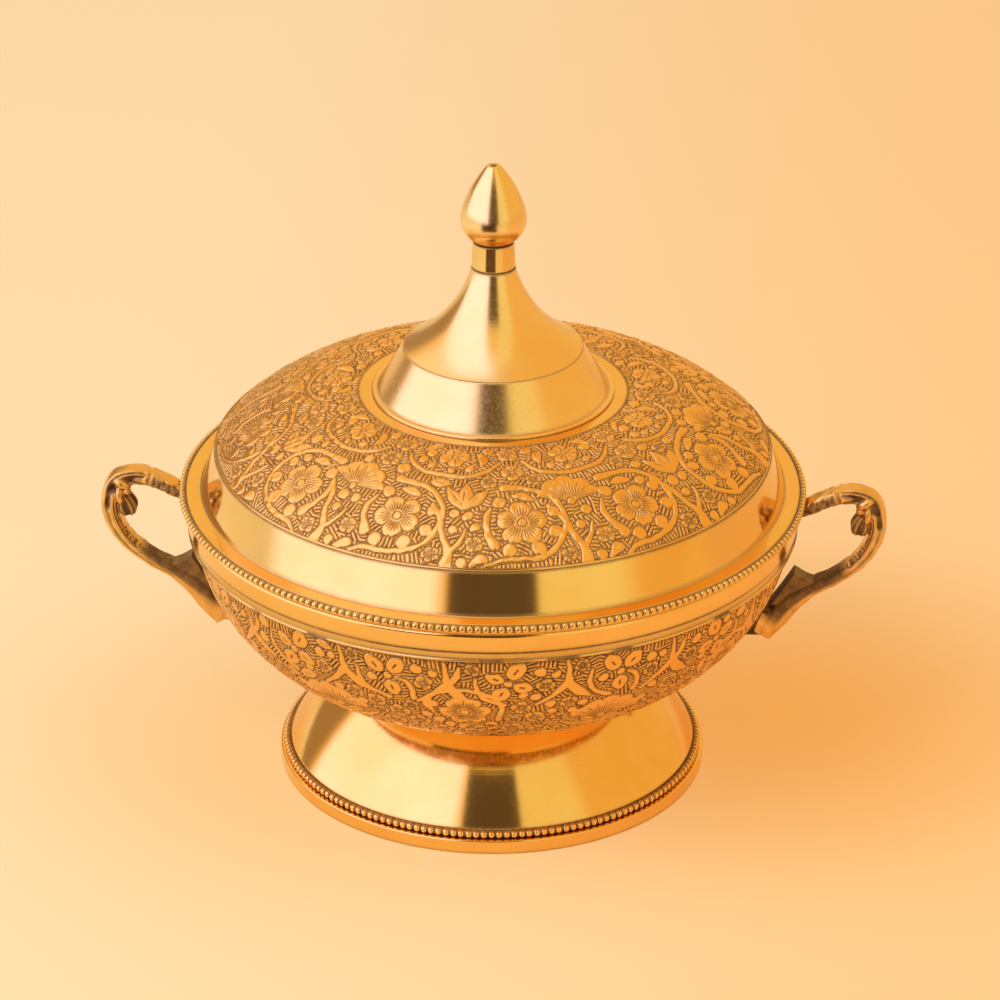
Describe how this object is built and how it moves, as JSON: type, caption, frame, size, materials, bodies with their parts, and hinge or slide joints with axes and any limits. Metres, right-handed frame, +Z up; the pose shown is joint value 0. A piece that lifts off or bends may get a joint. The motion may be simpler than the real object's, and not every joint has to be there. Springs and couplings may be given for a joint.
{
  "type": "candy dish",
  "caption": "Round footed brass dish with two cast scroll handles, an engraved bowl and a lift-off domed lid that carries a spire and a bud finial.",
  "frame": {"origin": "centre of the round foot, on the surface that the dish stands on", "axes": "+Z up along the axis of the bowl and its lid, +X along the two handles, +Y across the bowl"},
  "size_m": [0.252, 0.2002, 0.2064],
  "materials": {
    "engraved_brass": "polished, with chiselled ornament whose grooves hold a brown patina",
    "polished_brass": "polished, with fine turning marks and brown tarnish in the seams",
    "beaded_brass": "bright bead tops with dark gaps",
    "cast_brass": "cast and filed, brown in the hollows and at the brazed joints",
    "plain_brass": "dull, as turned"
  },
  "bodies": {
    "dish": {"bowl_shell": "engraved_brass", "rim_ring": "polished_brass", "left_handle": "cast_brass", "right_handle": "cast_brass", "foot_shell": "polished_brass", "foot_bead_ring": "beaded_brass", "foot_screw": "plain_brass", "foot_washer": "plain_brass", "foot_nut": "plain_brass"},
    "lid": {"lid_shell": "engraved_brass", "lid_collar": "polished_brass", "lid_bead_ring": "beaded_brass", "lid_spire": "polished_brass", "ferrule": "polished_brass", "finial": "polished_brass", "finial_stud": "plain_brass", "stud_washer": "plain_brass", "stud_nut": "plain_brass"}
  },
  "joints": [
    {"name": "lid_lift", "type": "slide", "parent": "dish", "child": "lid", "axis": [0, 0, 1], "range_m": [0, 0.15]}
  ]
}
